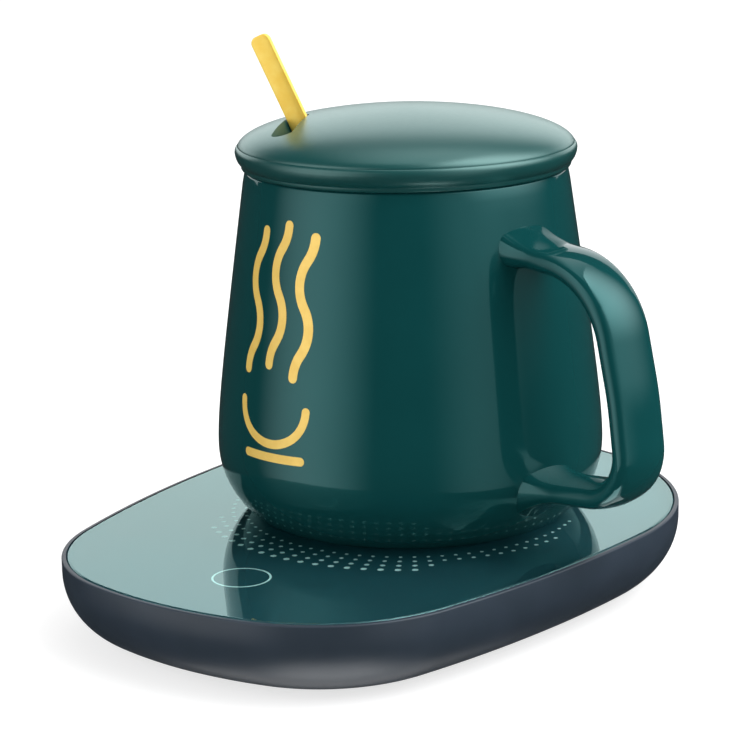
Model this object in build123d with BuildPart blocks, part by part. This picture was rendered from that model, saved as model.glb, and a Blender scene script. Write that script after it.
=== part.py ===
"""Electric mug warmer set: a heated glass base, a lidded stoneware mug and a stirring spoon.

Frame: the origin is the centre of the warming face, on top of the glass and on the mug's axis.
+Z points up, +Y points to the back of the base with its power socket, and the touch ring lies
towards -Y. All sizes are in millimetres.
"""

from build123d import *

import os
from math import cos, radians, sin, sqrt, tan

os.makedirs("parts", exist_ok=True)

# ------------------------------------------------------------------ driving sizes
# Plan of the base: tangent arcs from the middle of the front end to the middle of the back end.
front_reach = 90.5  # from the warming centre to the front end
front_radius = 92.0
front_sweep = 13.5  # degrees turned along the front end
corner_radius = 40.0
corner_sweep = 62.4
side_radius = 278.0
side_sweep = 13.8
shoulder_radius = 57.0
shoulder_sweep = 79.6

# Heights and walls of the base
base_height = 18.4  # glass top to underside
underside_radius = 15.0  # the bowl-shaped turn from side to underside
shell_wall = 3.0
glass_thickness = 4.0
glass_proud = 0.1  # how far the glass stands above the rim
glass_bevel = 0.5
rim_wall = 1.0
rim_round = 0.4
glass_gap = 0.2  # round the edge of the glass
gasket_thickness = 0.3

# Bottom cover
flange_thickness = 3.4
cover_inset = 16.2  # from the outline of the base to the edge of the cover
cover_gap = 0.2
cover_thickness = 2.2
cover_land = 2.8  # width of the step that the cover seats on
vent_count = 7
vent_length = 20.0
vent_width = 1.8
vent_pitch = 5.0

# Feet and the case screws under them
foot_inset = 24.0
foot_radius = 6.0
foot_gap = 0.15
foot_recess = 0.8
foot_proud = 0.8  # below the underside
screw_head_radius = 2.3
screw_head_height = 1.6
screw_shank_radius = 1.3
screw_length = 6.0
screw_gap = 0.2
pad_height = 2.2  # thickening of the cover under each case screw
boss_radius = 3.5
boss_height = 4.2
rib_thickness = 2.0
rib_inset = 4.7  # where the rib from a boss ends, inside the side wall

# Heater stack, from the glass downwards
heater_radius = 42.0
heater_thickness = 1.5
element_radius = 40.0
element_thickness = 0.8
terminal_width = 12.0
terminal_length = 5.5
pad_thickness = 2.2
tray_gauge = 0.8
tray_gap = 0.4  # between the heater stack and the tray's upturned rim
tray_rim = 3.2  # height of the upturned rim
tray_post_count = 3
tray_post_ring = 30.0
tray_post_radius = 3.0
cutout_size = (12.0, 7.0, 3.6)  # thermal cut-out
cutout_spot = (14.0, 14.0)
cutout_gap = 0.3
sensor_radius = 1.4
sensor_height = 2.6
sensor_spot = (-12.0, 10.0)

# Touch control
touch_distance = 63.6  # from the warming centre to the middle of the touch ring
board_size = (33.0, 22.0)
board_thickness = 1.6
board_level = -11.0  # top face of the control board
board_offset = 0.9  # of the board's middle, forward of the touch ring
board_post_radius = 2.4
board_post_spacing = (24.0, 9.0)
board_post_offset = 3.5  # of the screws' middle, back from the board's middle
spring_radius = 4.2
spring_wire = 0.6
spring_turns = 4
led_size = (3.2, 2.8, 1.4)
led_offset = 6.5  # from the touch centre
chip_size = (6.0, 6.0, 1.2)
chip_spot = (-10.0, -6.5)  # from the middle of the board
capacitor_radius = 3.1
capacitor_height = 5.4
capacitor_spot = (11.5, -7.2)
plug_size = (9.0, 5.0, 4.2)  # wire connector
plug_spot = (0.0, 8.2)

# Power socket
socket_level = -8.5
socket_width = 8.9
socket_height = 3.2
socket_length = 9.5
socket_wall = 0.35
socket_gap = 0.25
socket_setback = 0.2
tongue_thickness = 0.7
tongue_length = 4.6
port_width = 13.0
port_height = 7.0
port_depth = 1.2  # flat pocket round the socket's mouth
inlet_board_size = (18.0, 12.0)
inlet_board_thickness = 1.2
inlet_overhang = 6.0  # how far the socket stands past its board
inlet_post_radius = 2.2
inlet_post_spacing = 13.0
inlet_post_offset = 3.0  # from the middle of the inlet board to its screws

# Small screws and wires
board_screw_radius = 0.9
board_screw_head = 1.7
board_screw_head_height = 1.2
board_screw_length = 4.2
wire_radius = 0.7
wire_bend = 3.0
wire_pitch = 3.0

# Mug
mug_height = 80.6
rim_radius = 37.1
belly_radius = 45.0
belly_height = 16.3
mug_foot_radius = 38.2
mug_foot_height = 1.2
mug_foot_width = 4.6
mug_foot_recess = 1.0
foot_pull = (2.8, 2.4)  # how the curve leaves the foot: outwards, upwards
belly_pull = 0.54  # of the belly's height, where the lower curve turns upright
side_pull = 8.0  # height over which the belly stays upright
taper_pull = (6.4, 45.0)  # how the curve reaches the rim: from outside, from below
mug_wall = 3.5
mug_floor = 5.0
inner_floor_radius = 30.7  # the flat part of the floor
inner_floor_pull = 1.5  # from the inner wall, where the floor's curve turns upwards
inner_belly_pull = 0.7
inner_belly_rise = 2.0  # the inner belly stands this much higher than the outer
rim_edge_round = 0.9

# Handle, in the upright plane through the mug's axis
handle_turn = -11.5  # degrees from +X
handle_width = 14.2
handle_thickness = 6.0
handle_edge = 2.9
handle_top = (64.2, 63.7)  # outer upper corner: distance from the axis, height
handle_middle = (70.4, 38.0)
handle_bottom = (73.3, 16.3)
handle_top_root = 66.8
handle_bottom_root = 12.2
handle_top_bend = 19.0
handle_middle_bend = 70.0
handle_bottom_bend = 11.0
# Swell of the handle's section at its two ends: (distance from the wall, swell)
top_flare = ((-2.0, 3.0), (2.5, 1.1), (9.0, 0.0))
bottom_flare = ((-3.0, 4.6), (1.5, 1.9), (9.0, 0.0))
top_root_depth = 5.4  # of the handle's middle line, inside the wall's face
bottom_root_depth = 6.7

# Lid
lid_overlap = 0.5  # how far the lid's lower edge stands past the mug's rim
lid_rim_swell = 1.5
lid_rim_height = 5.4
lid_groove = 0.6
lid_dome_height = 7.4
lid_dome_shoulder = 3.6
lid_wall = 4.2
dome_flat = 15.0  # how far the crown of the dome stays nearly level
dome_drop = 0.2  # by which it falls over that reach
under_flat = 12.0  # the same for the underside
under_pull = (1.0, 1.2)  # how the underside leaves the skirt: inwards, below the crown
skirt_gap = 0.6
skirt_height = 5.0
skirt_wall = 2.8
slot_length = 21.0
slot_width = 5.2
slot_margin = 3.4  # from the middle of the spoon's stem to the back end of the slot
slot_heading = 113.3  # degrees from +X, along the slot to its back end

# Spoon
spoon_spot = (-21.5, -12.5)  # where the spoon's stem crosses the lid's top
spoon_spot_level = 91.3
spoon_lean = 24.8  # degrees from upright, square to the slot
spoon_rise = 19.2  # height of the tip above the lid's top
stem_width = 4.2
stem_thickness = 1.6
bowl_length = 34.0
bowl_width = 22.0
bowl_thickness = 1.1
bowl_curve = 30.0
stem_overlap = 2.0  # of the stem into the bowl
rest_gap = 0.2  # between the spoon and the mug's floor

# ------------------------------------------------------------------ levels worked out
rim_level = -glass_proud
glass_underside = -glass_thickness
ledge_level = glass_underside - gasket_thickness
underside = -base_height
flange_top = underside + flange_thickness
cover_top = underside + cover_thickness
glass_inset = rim_wall + glass_gap
cover_seat_inset = cover_inset - cover_gap
opening_inset = cover_inset + cover_land
heater_bottom = glass_underside - heater_thickness
element_bottom = heater_bottom - element_thickness
pad_bottom = element_bottom - pad_thickness
tray_bottom = pad_bottom - tray_gauge
tray_radius = heater_radius + tray_gap + tray_gauge


def base_arcs(inset):
    """Right half of the base's plan, drawn in by inset: five tangent arcs, front to back."""
    with BuildLine():
        front = JernArc((0, inset - front_reach), (1, 0), front_radius - inset, front_sweep)
        corner = JernArc(front @ 1, front % 1, corner_radius - inset, corner_sweep)
        side = JernArc(corner @ 1, corner % 1, side_radius - inset, side_sweep)
        shoulder = JernArc(side @ 1, side % 1, shoulder_radius - inset, shoulder_sweep)
        # one arc closes the back end, square to the middle line
        half_turn = (180 - front_sweep - corner_sweep - side_sweep - shoulder_sweep) / 2
        back_end = (0, (shoulder @ 1).Y + (shoulder @ 1).X * tan(radians(half_turn)))
        back = TangentArc(shoulder @ 1, back_end, tangent=shoulder % 1)
    return [front, corner, side, shoulder, back]


def base_plan(inset):
    """Whole plan of the base, drawn in by inset."""
    with BuildSketch() as plan:
        with BuildLine():
            add(base_arcs(inset))
            mirror(about=Plane.YZ)
        make_face()
    return plan.sketch


def foot_spots():
    """The four feet: at the middle of each front corner and of each back shoulder."""
    arcs = base_arcs(foot_inset)
    spots = []
    for arc in (arcs[1], arcs[3]):
        for hand in (1, -1):
            point = arc @ 0.5
            outward = (arc % 0.5).rotate(Axis.Z, -90)
            spots.append((hand * point.X, point.Y, hand * outward.X, outward.Y))
    return spots


def finish(part, name):
    """Label a finished piece and write it."""
    part.label = name
    export_step(part, f"parts/{name}.step")


spots = foot_spots()
foot_places = [(x, y) for x, y, _, _ in spots]
back_reach = (base_arcs(0)[-1] @ 1).Y
boss_foot = cover_top + pad_height
socket_face = back_reach - port_depth - socket_setback
inlet_board_top = socket_level - socket_height / 2
inlet_board_bottom = inlet_board_top - inlet_board_thickness
inlet_board_middle = socket_face - inlet_overhang - inlet_board_size[1] / 2
inlet_post_places = [
    (-inlet_post_spacing / 2, inlet_board_middle - inlet_post_offset),
    (inlet_post_spacing / 2, inlet_board_middle - inlet_post_offset),
]
board_bottom = board_level - board_thickness
board_middle = (0, -touch_distance - board_offset)
board_post_middle = board_middle[1] + board_post_offset

# ------------------------------------------------------------------ glass top
# Tempered glass, seated in the shell's rebate and all but level with its rim.
with BuildPart() as glass_top:
    with BuildSketch(Plane.XY.offset(glass_underside)):
        add(base_plan(glass_inset))
    extrude(amount=glass_thickness)
    chamfer(glass_top.faces().sort_by(Axis.Z)[-1].edges(), glass_bevel)
finish(glass_top.part, "glass_top")

# Adhesive gasket between the glass and its ledge
with BuildPart() as glass_gasket:
    with BuildSketch(Plane.XY.offset(ledge_level)):
        add(base_plan(glass_inset))
        add(base_plan(shell_wall), mode=Mode.SUBTRACT)
    extrude(amount=gasket_thickness)
finish(glass_gasket.part, "glass_gasket")

# ------------------------------------------------------------------ body shell
# One moulding: bowl-shaped outside, a ledge for the glass, and a stepped flange for the cover.
with BuildPart() as cavity:
    with BuildSketch(Plane.XY.offset(flange_top)):
        add(base_plan(shell_wall))
    extrude(amount=rim_level - flange_top)
    inner_turn = min(underside_radius - shell_wall, rim_level - flange_top - 1)
    fillet(cavity.faces().sort_by(Axis.Z)[0].edges(), inner_turn)

with BuildPart() as body_shell:
    with BuildSketch(Plane.XY.offset(underside)):
        add(base_plan(0))
    extrude(amount=rim_level - underside)
    fillet(body_shell.faces().sort_by(Axis.Z)[0].edges(), underside_radius)
    fillet(body_shell.faces().sort_by(Axis.Z)[-1].edges(), rim_round)
    add(cavity.part, mode=Mode.SUBTRACT)
    # rebate for the glass
    with BuildSketch(Plane.XY.offset(ledge_level)):
        add(base_plan(rim_wall))
    extrude(amount=rim_level - ledge_level, mode=Mode.SUBTRACT)
    # opening for the cover and the step that it seats on
    with BuildSketch(Plane.XY.offset(underside)):
        add(base_plan(opening_inset))
    extrude(amount=flange_thickness, mode=Mode.SUBTRACT)
    with BuildSketch(Plane.XY.offset(underside)):
        add(base_plan(cover_seat_inset))
    extrude(amount=cover_thickness, mode=Mode.SUBTRACT)
    # screw bosses, each carried by a rib from the side wall
    for x, y, out_x, out_y in spots:
        with BuildSketch(Plane(origin=(x, y, boss_foot), x_dir=(out_x, out_y, 0), z_dir=(0, 0, 1))):
            Circle(boss_radius)
            Rectangle(foot_inset - rib_inset, rib_thickness, align=(Align.MIN, Align.CENTER))
            Circle(screw_shank_radius, mode=Mode.SUBTRACT)
        extrude(amount=boss_height)
    # posts for the inlet board, on the flange
    with BuildSketch(Plane.XY.offset(flange_top)):
        with Locations(inlet_post_places):
            Circle(inlet_post_radius)
    extrude(amount=inlet_board_bottom - flange_top)
    with BuildSketch(Plane.XY.offset(inlet_board_bottom)):
        with Locations(inlet_post_places):
            Circle(board_screw_radius)
    extrude(amount=inlet_board_thickness - board_screw_length, mode=Mode.SUBTRACT)
    # pocket and hole for the power socket
    with BuildSketch(Plane(origin=(0, back_reach, socket_level), x_dir=(1, 0, 0), z_dir=(0, -1, 0))):
        SlotOverall(port_width, port_height)
    extrude(amount=port_depth, both=True, mode=Mode.SUBTRACT)
    with BuildSketch(Plane(origin=(0, back_reach, socket_level), x_dir=(1, 0, 0), z_dir=(0, -1, 0))):
        SlotOverall(socket_width + 2 * socket_gap, socket_height + 2 * socket_gap)
    extrude(amount=foot_inset, mode=Mode.SUBTRACT)
finish(body_shell.part, "body_shell")

# ------------------------------------------------------------------ bottom cover
with BuildPart() as bottom_cover:
    with BuildSketch(Plane.XY.offset(underside)):
        add(base_plan(cover_inset))
    extrude(amount=cover_thickness)
    # thick pads for the case screws
    with BuildSketch(Plane.XY.offset(cover_top)):
        with Locations(foot_places):
            Circle(screw_head_radius + screw_gap + 1.8)
    extrude(amount=pad_height)
    # posts that press the heater tray up against the glass
    with BuildSketch(Plane.XY.offset(cover_top)):
        with PolarLocations(tray_post_ring, tray_post_count, start_angle=90):
            Circle(tray_post_radius)
    extrude(amount=tray_bottom - cover_top)
    # posts for the control board
    with BuildSketch(Plane.XY.offset(cover_top)):
        with Locations((0, board_post_middle)):
            with GridLocations(*board_post_spacing, 2, 2):
                Circle(board_post_radius)
    extrude(amount=board_bottom - cover_top)
    # foot recesses, head pockets and clearance holes, one inside the other
    with BuildSketch(Plane.XY.offset(underside)):
        with Locations(foot_places):
            Circle(foot_radius + foot_gap)
    extrude(amount=foot_recess, mode=Mode.SUBTRACT)
    with BuildSketch(Plane.XY.offset(underside)):
        with Locations(foot_places):
            Circle(screw_head_radius + screw_gap)
    extrude(amount=foot_recess + screw_head_height, mode=Mode.SUBTRACT)
    with BuildSketch(Plane.XY.offset(underside)):
        with Locations(foot_places):
            Circle(screw_shank_radius + screw_gap)
    extrude(amount=cover_thickness + pad_height, mode=Mode.SUBTRACT)
    # pilot holes for the board screws
    with BuildSketch(Plane.XY.offset(board_bottom)):
        with Locations((0, board_post_middle)):
            with GridLocations(*board_post_spacing, 2, 2):
                Circle(board_screw_radius)
    extrude(amount=board_thickness - board_screw_length, mode=Mode.SUBTRACT)
    # vents under the heater
    with BuildSketch(Plane.XY.offset(underside)):
        with GridLocations(vent_pitch, 0, vent_count, 1):
            SlotOverall(vent_length, vent_width, rotation=90)
    extrude(amount=cover_thickness, mode=Mode.SUBTRACT)
finish(bottom_cover.part, "bottom_cover")

# Rubber feet, pressed into the cover's recesses over the screw heads
with BuildPart() as rubber_feet:
    with BuildSketch(Plane.XY.offset(underside - foot_proud)):
        with Locations(foot_places):
            Circle(foot_radius)
    extrude(amount=foot_proud + foot_recess)
    chamfer(rubber_feet.faces().group_by(Axis.Z)[0].edges(), foot_proud / 2)
finish(rubber_feet.part, "rubber_feet")

# Case screws, up through the cover's pads into the shell's bosses
with BuildPart() as case_screws:
    with BuildSketch(Plane.XY.offset(underside + foot_recess)):
        with Locations(foot_places):
            Circle(screw_head_radius)
    extrude(amount=screw_head_height)
    with BuildSketch(Plane.XY.offset(underside + foot_recess + screw_head_height)):
        with Locations(foot_places):
            Circle(screw_shank_radius)
    extrude(amount=screw_length)
finish(case_screws.part, "case_screws")

# ------------------------------------------------------------------ heater stack
# Aluminium spreader against the glass, mica heating element, fibre pad and steel tray.
with BuildPart() as heating_plate:
    with BuildSketch(Plane.XY.offset(heater_bottom)):
        Circle(heater_radius)
    extrude(amount=heater_thickness)
finish(heating_plate.part, "heating_plate")

with BuildPart() as heating_element:
    with BuildSketch(Plane.XY.offset(element_bottom)):
        Circle(element_radius)
        with Locations((0, -element_radius)):
            Rectangle(terminal_width, 2 * terminal_length)
    extrude(amount=element_thickness)
finish(heating_element.part, "heating_element")

window = (cutout_size[0] + 2 * cutout_gap, cutout_size[1] + 2 * cutout_gap)
with BuildPart() as insulation_pad:
    with BuildSketch(Plane.XY.offset(pad_bottom)):
        Circle(heater_radius)
        with Locations(cutout_spot):
            Rectangle(*window, mode=Mode.SUBTRACT)
        with Locations(sensor_spot):
            Circle(sensor_radius + cutout_gap, mode=Mode.SUBTRACT)
    extrude(amount=pad_thickness)
finish(insulation_pad.part, "insulation_pad")

with BuildPart() as heater_tray:
    with BuildSketch(Plane.XY.offset(tray_bottom)):
        Circle(tray_radius)
        with Locations(cutout_spot):
            Rectangle(*window, mode=Mode.SUBTRACT)
        with Locations(sensor_spot):
            Circle(sensor_radius + cutout_gap, mode=Mode.SUBTRACT)
    extrude(amount=tray_gauge)
    with BuildSketch(Plane.XY.offset(pad_bottom)):
        Circle(tray_radius)
        Circle(tray_radius - tray_gauge, mode=Mode.SUBTRACT)
        with Locations((0, -tray_radius)):
            Rectangle(terminal_width + 2 * tray_gap, tray_radius, mode=Mode.SUBTRACT)
    extrude(amount=tray_rim)
finish(heater_tray.part, "heater_tray")

with BuildPart() as thermal_cutout:
    with BuildSketch(Plane.XY.offset(element_bottom)):
        with Locations(cutout_spot):
            Rectangle(cutout_size[0], cutout_size[1])
    extrude(amount=-cutout_size[2])
    fillet(thermal_cutout.edges().filter_by(Axis.Z), 1.0)
finish(thermal_cutout.part, "thermal_cutout")

with BuildPart() as temperature_sensor:
    with BuildSketch(Plane.XY.offset(element_bottom)):
        with Locations(sensor_spot):
            Circle(sensor_radius)
    extrude(amount=-sensor_height)
    fillet(temperature_sensor.faces().sort_by(Axis.Z)[0].edges(), sensor_radius / 2)
finish(temperature_sensor.part, "temperature_sensor")

# ------------------------------------------------------------------ touch control
with BuildPart() as control_board:
    with BuildSketch(Plane.XY.offset(board_bottom)):
        with Locations(board_middle):
            RectangleRounded(*board_size, 2.0)
        with Locations((0, board_post_middle)):
            with GridLocations(*board_post_spacing, 2, 2):
                Circle(board_screw_radius, mode=Mode.SUBTRACT)
    extrude(amount=board_thickness)
finish(control_board.part, "control_board")

with BuildPart() as board_components:
    with BuildSketch(Plane.XY.offset(board_level)):
        with Locations((board_middle[0] + chip_spot[0], board_middle[1] + chip_spot[1])):
            Rectangle(chip_size[0], chip_size[1])
    extrude(amount=chip_size[2])
    with BuildSketch(Plane.XY.offset(board_level)):
        with Locations((board_middle[0] + capacitor_spot[0], board_middle[1] + capacitor_spot[1])):
            Circle(capacitor_radius)
    extrude(amount=capacitor_height)
    with BuildSketch(Plane.XY.offset(board_level)):
        with Locations((board_middle[0] + plug_spot[0], board_middle[1] + plug_spot[1])):
            Rectangle(plug_size[0], plug_size[1])
    extrude(amount=plug_size[2])
finish(board_components.part, "board_components")

with BuildPart() as board_screws:
    with BuildSketch(Plane.XY.offset(board_level)):
        with Locations((0, board_post_middle)):
            with GridLocations(*board_post_spacing, 2, 2):
                Circle(board_screw_head)
    extrude(amount=board_screw_head_height)
    with BuildSketch(Plane.XY.offset(board_level)):
        with Locations((0, board_post_middle)):
            with GridLocations(*board_post_spacing, 2, 2):
                Circle(board_screw_radius)
    extrude(amount=-board_screw_length)
finish(board_screws.part, "board_screws")

# Coil spring that carries the touch signal from the glass to the board
touch_gap = glass_underside - board_level
with BuildPart() as touch_spring:
    with BuildLine(Plane.XY.offset(board_level + spring_wire / 2)):
        coil = Helix(
            pitch=(touch_gap - spring_wire) / spring_turns,
            height=touch_gap - spring_wire,
            radius=spring_radius,
            center=(0, -touch_distance, 0),
        )
    with BuildSketch(Plane(origin=coil @ 0, z_dir=coil % 0)):
        Circle(spring_wire / 2)
    sweep(path=coil, is_frenet=True)
finish(touch_spring.part, "touch_spring")

with BuildPart() as status_led:
    with BuildSketch(Plane.XY.offset(board_level)):
        with Locations((0, -touch_distance - led_offset)):
            Rectangle(led_size[0], led_size[1])
    extrude(amount=led_size[2])
finish(status_led.part, "status_led")

# ------------------------------------------------------------------ power socket
# Reversible power socket: a drawn steel sleeve round a flat contact tongue, on its own board.
socket_plane = Plane(origin=(0, socket_face, socket_level), x_dir=(1, 0, 0), z_dir=(0, -1, 0))
with BuildPart() as power_socket:
    with BuildSketch(socket_plane):
        SlotOverall(socket_width, socket_height)
    extrude(amount=socket_length)
    with BuildSketch(socket_plane):
        SlotOverall(socket_width - 2 * socket_wall, socket_height - 2 * socket_wall)
    extrude(amount=tongue_length + 1.2, mode=Mode.SUBTRACT)
    with BuildSketch(socket_plane.offset(1.2)):
        Rectangle(socket_width - socket_height, tongue_thickness)
    extrude(amount=tongue_length)
finish(power_socket.part, "power_socket")

with BuildPart() as inlet_board:
    with BuildSketch(Plane.XY.offset(inlet_board_bottom)):
        with Locations((0, inlet_board_middle)):
            RectangleRounded(*inlet_board_size, 1.5)
        with Locations(inlet_post_places):
            Circle(board_screw_radius, mode=Mode.SUBTRACT)
    extrude(amount=inlet_board_thickness)
finish(inlet_board.part, "inlet_board")

with BuildPart() as inlet_screws:
    with BuildSketch(Plane.XY.offset(inlet_board_top)):
        with Locations(inlet_post_places):
            Circle(board_screw_head)
    extrude(amount=board_screw_head_height)
    with BuildSketch(Plane.XY.offset(inlet_board_top)):
        with Locations(inlet_post_places):
            Circle(board_screw_radius)
    extrude(amount=-board_screw_length)
finish(inlet_screws.part, "inlet_screws")

# ------------------------------------------------------------------ wiring
# Supply wires lie along the cover from the inlet board to the control board.
inlet_front = inlet_board_middle - inlet_board_size[1] / 2
board_back = board_middle[1] + board_size[1] / 2
wire_floor = cover_top + wire_radius
inlet_wire_level = inlet_board_bottom + inlet_board_thickness / 2
board_wire_level = board_bottom + board_thickness / 2
with BuildPart() as inlet_leads:
    for x in (-wire_pitch / 2 - 6, wire_pitch / 2 - 6):
        with BuildLine(Plane.YZ.offset(x)) as route:
            FilletPolyline(
                (inlet_front, inlet_wire_level),
                (inlet_front - 4, inlet_wire_level),
                (inlet_front - 8, wire_floor),
                (board_back + 7, wire_floor),
                (board_back + 4, board_wire_level),
                (board_back, board_wire_level),
                radius=wire_bend,
            )
        with BuildSketch(Plane(origin=route.line @ 0, z_dir=route.line % 0)):
            Circle(wire_radius)
        sweep(path=route.line)
finish(inlet_leads.part, "inlet_leads")

# Heater wires drop from the element's terminal to the connector on the board.
plug_back = board_middle[1] + plug_spot[1] + plug_size[1] / 2
plug_level = board_level + plug_size[2] / 2
terminal_row = -element_radius - terminal_length + wire_radius + 0.4
with BuildPart() as heater_leads:
    for x in (-wire_pitch / 2, wire_pitch / 2):
        with BuildLine(Plane.YZ.offset(x)) as route:
            FilletPolyline(
                (terminal_row, element_bottom),
                (terminal_row, plug_level),
                (plug_back, plug_level),
                radius=1.6,
            )
        with BuildSketch(Plane(origin=route.line @ 0, z_dir=route.line % 0)):
            Circle(wire_radius)
        sweep(path=route.line)
finish(heater_leads.part, "heater_leads")

# ------------------------------------------------------------------ mug
# Thrown stoneware: foot ring, low belly and a long taper to a thin rim.
inner_belly_radius = belly_radius - mug_wall
inner_rim_radius = rim_radius - mug_wall

with BuildPart() as mug_body_outer:
    with BuildSketch(Plane.XZ):
        with BuildLine():
            foot = Polyline((0, 0), (mug_foot_radius, 0), (mug_foot_radius, mug_foot_height))
            lower = Bezier(
                foot @ 1,
                (mug_foot_radius + foot_pull[0], mug_foot_height + foot_pull[1]),
                (belly_radius, belly_height * belly_pull),
                (belly_radius, belly_height),
            )
            upper = Bezier(
                lower @ 1,
                (belly_radius, belly_height + side_pull),
                (rim_radius + taper_pull[0], mug_height - taper_pull[1]),
                (rim_radius, mug_height),
            )
            Polyline(upper @ 1, (0, mug_height), (0, 0))
        make_face()
    revolve(axis=Axis.Z)

with BuildPart() as mug:
    add(mug_body_outer.part)
    # inside, at an even wall
    with BuildSketch(Plane.XZ):
        with BuildLine():
            base_line = Line((0, mug_floor), (inner_floor_radius, mug_floor))
            turn = Bezier(
                base_line @ 1,
                (inner_belly_radius - inner_floor_pull, mug_floor),
                (inner_belly_radius, belly_height * inner_belly_pull),
                (inner_belly_radius, belly_height + inner_belly_rise),
            )
            side = Bezier(
                turn @ 1,
                (inner_belly_radius, belly_height + inner_belly_rise + side_pull),
                (inner_rim_radius + taper_pull[0], mug_height - taper_pull[1]),
                (inner_rim_radius, mug_height),
            )
            Polyline(side @ 1, (0, mug_height), (0, mug_floor))
        make_face()
    revolve(axis=Axis.Z, mode=Mode.SUBTRACT)
    # shallow recess inside the foot ring
    with BuildSketch():
        Circle(mug_foot_radius - mug_foot_width)
    extrude(amount=mug_foot_recess, mode=Mode.SUBTRACT)
    fillet(mug.faces().sort_by(Axis.Z)[-1].edges(), rim_edge_round)
finish(mug.part, "mug")

# Strap handle, rounded in section, flared at both ends where it is luted to the wall
handle_plane = Plane.XZ.rotated((0, 0, handle_turn))
with BuildPart() as mug_handle:
    with BuildLine(handle_plane) as strap:
        FilletPolyline(
            (rim_radius - mug_wall, handle_top_root),
            handle_top,
            handle_middle,
            handle_bottom,
            (mug_foot_radius, handle_bottom_root),
            radius=(handle_top_bend, handle_middle_bend, handle_bottom_bend),
        )
    side_way = Vector(0, 1, 0).rotate(Axis.Z, handle_turn)
    with BuildSketch(Plane(origin=strap.line @ 0, x_dir=side_way, z_dir=strap.line % 0)):
        RectangleRounded(handle_width, handle_thickness, handle_edge)
    sweep(path=strap.line)
    # both ends swell softly to meet the wall
    top_wall = strap.line @ 0 + strap.line % 0 * top_root_depth
    bottom_wall = strap.line @ 1 - strap.line % 1 * bottom_root_depth
    for wall_point, outwards, flare in (
        (top_wall, strap.line % 0, top_flare),
        (bottom_wall, -(strap.line % 1), bottom_flare),
    ):
        for distance, swell in flare:
            section_spot = wall_point + outwards * distance
            with BuildSketch(Plane(origin=section_spot, x_dir=side_way, z_dir=outwards)):
                RectangleRounded(
                    handle_width + 2 * swell, handle_thickness + 2 * swell, handle_edge + swell
                )
        loft()
    add(mug_body_outer.part, mode=Mode.SUBTRACT)
finish(mug_handle.part, "mug_handle")

# ------------------------------------------------------------------ lid
lid_edge = rim_radius + lid_overlap
dome_edge = lid_edge + 1.0
rim_top = mug_height + lid_rim_height
dome_foot = rim_top + lid_groove
apex = dome_foot + lid_dome_height
skirt_outer = inner_rim_radius - skirt_gap
skirt_inner = skirt_outer - skirt_wall
lean = radians(spoon_lean)
slot_way = Vector(1, 0, 0).rotate(Axis.Z, slot_heading)
across = Vector(1, 0, 0).rotate(Axis.Z, slot_heading - 90)
stem_way = across * -sin(lean) + Vector(0, 0, 1) * cos(lean)
spoon_point = Vector(spoon_spot[0], spoon_spot[1], spoon_spot_level)

with BuildPart() as lid:
    with BuildSketch(Plane.XZ):
        with BuildLine():
            dome = Bezier(
                (0, apex),
                (dome_flat, apex - dome_drop),
                (dome_edge, dome_foot + lid_dome_shoulder),
                (dome_edge, dome_foot),
            )
            groove = Line(dome @ 1, (dome_edge - lid_groove, rim_top))
            swell = ThreePointArc(
                groove @ 1,
                (lid_edge + lid_rim_swell, mug_height + lid_rim_height * 0.62),
                (lid_edge, mug_height + 0.4),
            )
            seat = Polyline(
                swell @ 1,
                (lid_edge - 0.4, mug_height),
                (skirt_outer, mug_height),
                (skirt_outer, mug_height - skirt_height),
                (skirt_inner, mug_height - skirt_height),
                (skirt_inner, mug_height + 2.0),
            )
            under = Bezier(
                seat @ 1,
                (skirt_inner - under_pull[0], apex - lid_wall - under_pull[1]),
                (under_flat, apex - lid_wall),
                (0, apex - lid_wall),
            )
            Line(under @ 1, dome @ 0)
        make_face()
    revolve(axis=Axis.Z)
    # spoon slot, cut along the lean of the spoon
    slot_middle = spoon_point + slot_way * (slot_margin - slot_length / 2)
    with BuildSketch(Plane(origin=slot_middle, x_dir=slot_way, z_dir=stem_way)):
        SlotOverall(slot_length, slot_width)
    extrude(amount=24, both=True, mode=Mode.SUBTRACT)
finish(lid.part, "lid")

# ------------------------------------------------------------------ spoon
# Flat stem with a shallow bowl, standing on the mug's floor and leaning in the lid's slot.
bowl_reach = sqrt((bowl_length / 2 * cos(lean)) ** 2 + (bowl_width / 2 * sin(lean)) ** 2)
bowl_level = mug_floor + rest_gap + bowl_reach
bowl_run = (spoon_point.Z - bowl_level) / cos(lean)
bowl_plane = Plane(origin=spoon_point - stem_way * bowl_run, x_dir=stem_way, z_dir=slot_way)
rim_rise = bowl_curve - sqrt(bowl_curve**2 - (bowl_length / 2) ** 2)
stem_start = bowl_length / 2 - stem_overlap
stem_end = bowl_run + spoon_rise / cos(lean)

with BuildPart() as spoon:
    # bowl: an oval cut from a shallow dome
    with BuildSketch(bowl_plane.offset(-rim_rise)):
        Ellipse(bowl_length / 2, bowl_width / 2)
    extrude(amount=2 * rim_rise)
    with Locations(bowl_plane.offset(bowl_curve - rim_rise)):
        Sphere(bowl_curve, mode=Mode.INTERSECT)
    with Locations(bowl_plane.offset(bowl_curve - rim_rise)):
        Sphere(bowl_curve - bowl_thickness, mode=Mode.SUBTRACT)
    # stem: a flat bar, level with the bowl's rim, with a rounded tip
    with BuildSketch(bowl_plane.offset(-stem_thickness / 2)):
        with Locations(((stem_start + stem_end) / 2, 0)):
            SlotOverall(stem_end - stem_start, stem_width)
        with Locations((stem_start, 0)):
            Rectangle(stem_width, stem_width, align=(Align.MIN, Align.CENTER))
    extrude(amount=stem_thickness)
finish(spoon.part, "spoon")
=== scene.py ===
from math import asin, cos, degrees, pi, radians, sin, tan

import bmesh
import bpy
from mathutils import Matrix, Vector


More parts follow.
